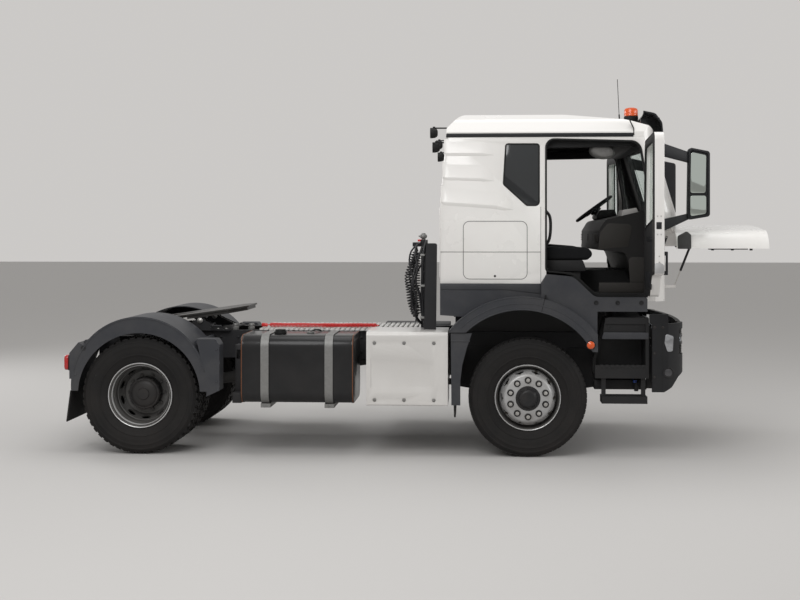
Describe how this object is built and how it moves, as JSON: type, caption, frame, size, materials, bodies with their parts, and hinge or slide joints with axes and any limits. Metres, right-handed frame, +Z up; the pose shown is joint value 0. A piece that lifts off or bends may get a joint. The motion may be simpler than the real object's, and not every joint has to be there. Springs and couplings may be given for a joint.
{
  "type": "tractor unit",
  "caption": "Two-axle road tractor unit with a high-floor sleeper cab, doors and front flap open, catwalk, side tank and tilting coupling plate.",
  "frame": {"origin": "on the floor, midway along and across the vehicle as it stands with its front flap raised", "axes": "+X forwards along the vehicle, +Y to its left, +Z up"},
  "size_m": [6.508, 4.148, 3.5402],
  "materials": {
    "tyre": "matte",
    "rim_silver": "satin",
    "chassis_black": "satin",
    "cab_white": "gloss",
    "dark_plastic": "matte",
    "tank_black": "gloss",
    "strap_metal": "satin",
    "walk_metal": "satin",
    "cast_dark": "matte",
    "rubber_black": "matte",
    "red_line": "gloss",
    "glass": "clear",
    "lamp_clear": "gloss",
    "lamp_red": "gloss",
    "interior": "matte",
    "seat_cloth": "matte",
    "fittings": "gloss",
    "rod_steel": "satin"
  },
  "bodies": {
    "chassis": {"air_springs": "rubber_black", "air_tanks": "chassis_black", "battery_box": "dark_plastic", "bumper": "dark_plastic", "catwalk": "walk_metal", "chassis_frame": "chassis_black", "coiled_lines": "rubber_black", "engine_block": "cast_dark", "exhaust_cover": "cab_white", "fifth_wheel_base": "cast_dark", "front_axle": "cast_dark", "front_mudguards": "dark_plastic", "fuel_tank": "tank_black", "headlamps": "lamp_clear", "line_holder": "dark_plastic", "mudflaps": "rubber_black", "propeller_shaft": "chassis_black", "radiator": "chassis_black", "rear_axle": "cast_dark", "rear_fenders": "dark_plastic", "red_line": "red_line", "silencer": "chassis_black", "steps": "dark_plastic", "tail_lamps": "lamp_red", "tank_straps": "strap_metal"},
    "cab": {"cab_side_right": "cab_white", "cab_side_left": "cab_white", "cab_rear_wall": "cab_white", "cab_roof": "cab_white", "cab_floor": "chassis_black", "cab_front": "dark_plastic", "cab_glass": "glass", "wheel_arch_trims": "dark_plastic", "sun_visor": "dark_plastic", "dashboard": "interior", "steering_wheel": "dark_plastic", "seats": "seat_cloth", "roof_fittings": "fittings"},
    "door_right": {"door_right": "cab_white", "door_glass_right": "glass", "mirror_right": "dark_plastic"},
    "door_left": {"door_left": "cab_white", "door_glass_left": "glass", "mirror_left": "dark_plastic"},
    "front_flap": {"front_flap": "cab_white"},
    "strut_tubes": {"strut_tubes": "chassis_black"},
    "strut_rods": {"strut_rods": "rod_steel"},
    "knuckle_right": {"knuckle_right": "cast_dark"},
    "knuckle_left": {"knuckle_left": "cast_dark"},
    "tie_rod": {"tie_rod": "cast_dark"},
    "wheel_front_right": {"tyre_front_right": "tyre", "rim_front_right": "rim_silver"},
    "wheel_front_left": {"tyre_front_left": "tyre", "rim_front_left": "rim_silver"},
    "wheels_rear_right": {"tyres_rear_right": "tyre", "rims_rear_right": "rim_silver"},
    "wheels_rear_left": {"tyres_rear_left": "tyre", "rims_rear_left": "rim_silver"},
    "fifth_wheel_plate": {"fifth_wheel_plate": "cast_dark"}
  },
  "joints": [
    {"name": "cab_tilt", "type": "hinge", "parent": "chassis", "child": "cab", "pos_m": [2.369, 0, 1], "axis": [0, 1, 0], "range_deg": [0, 60]},
    {"name": "door_right_hinge", "type": "hinge", "parent": "cab", "child": "door_right", "pos_m": [2.194, -1.112, 2.2], "axis": [0, 0, 1], "range_deg": [-88, 0]},
    {"name": "door_left_hinge", "type": "hinge", "parent": "cab", "child": "door_left", "pos_m": [2.194, 1.112, 2.2], "axis": [0, 0, -1], "range_deg": [-88, 0]},
    {"name": "front_flap_hinge", "type": "hinge", "parent": "cab", "child": "front_flap", "pos_m": [2.459, 0, 2.06], "axis": [0, 1, 0], "range_deg": [0, 90]},
    {"name": "strut_pivot", "type": "hinge", "parent": "front_flap", "child": "strut_tubes", "pos_m": [2.609, 0, 2.012], "axis": [0, 1, 0], "range_deg": [-115.27, 0.5]},
    {"name": "strut_slide", "type": "slide", "parent": "strut_tubes", "child": "strut_rods", "axis": [-0.3664, 0, -0.9305], "range_m": [-0.1362, 0.001]},
    {"name": "steer_right", "type": "hinge", "parent": "chassis", "child": "knuckle_right", "pos_m": [1.059, -0.915, 0.545], "axis": [0, 0, 1], "range_deg": [-40, 40]},
    {"name": "steer_left", "type": "hinge", "parent": "chassis", "child": "knuckle_left", "pos_m": [1.059, 0.915, 0.545], "axis": [0, 0, 1], "range_deg": [-40, 40]},
    {"name": "tie_rod_ball", "type": "hinge", "parent": "knuckle_left", "child": "tie_rod", "pos_m": [0.909, 0.915, 0.383], "axis": [0, 0, 1], "range_deg": [-40, 40]},
    {"name": "spin_front_right", "type": "hinge", "parent": "knuckle_right", "child": "wheel_front_right", "pos_m": [1.059, -1.04, 0.545], "axis": [0, 1, 0], "continuous": true},
    {"name": "spin_front_left", "type": "hinge", "parent": "knuckle_left", "child": "wheel_front_left", "pos_m": [1.059, 1.04, 0.545], "axis": [0, 1, 0], "continuous": true},
    {"name": "spin_rear_right", "type": "hinge", "parent": "chassis", "child": "wheels_rear_right", "pos_m": [-2.541, -0.9, 0.545], "axis": [0, 1, 0], "continuous": true},
    {"name": "spin_rear_left", "type": "hinge", "parent": "chassis", "child": "wheels_rear_left", "pos_m": [-2.541, 0.9, 0.545], "axis": [0, 1, 0], "continuous": true},
    {"name": "fifth_wheel_tilt", "type": "hinge", "parent": "chassis", "child": "fifth_wheel_plate", "pos_m": [-2.141, 0, 1.192], "axis": [0, 1, 0], "range_deg": [0, 16]}
  ],
  "couplings": [
    {"joint": "steer_left", "follows": "steer_right", "ratio": 1},
    {"joint": "tie_rod_ball", "follows": "steer_right", "ratio": -1},
    {"joint": "strut_pivot", "follows": "front_flap_hinge", "ratio": -1.2752},
    {"joint": "strut_slide", "follows": "front_flap_hinge", "m_per_rad": -0.086081}
  ]
}
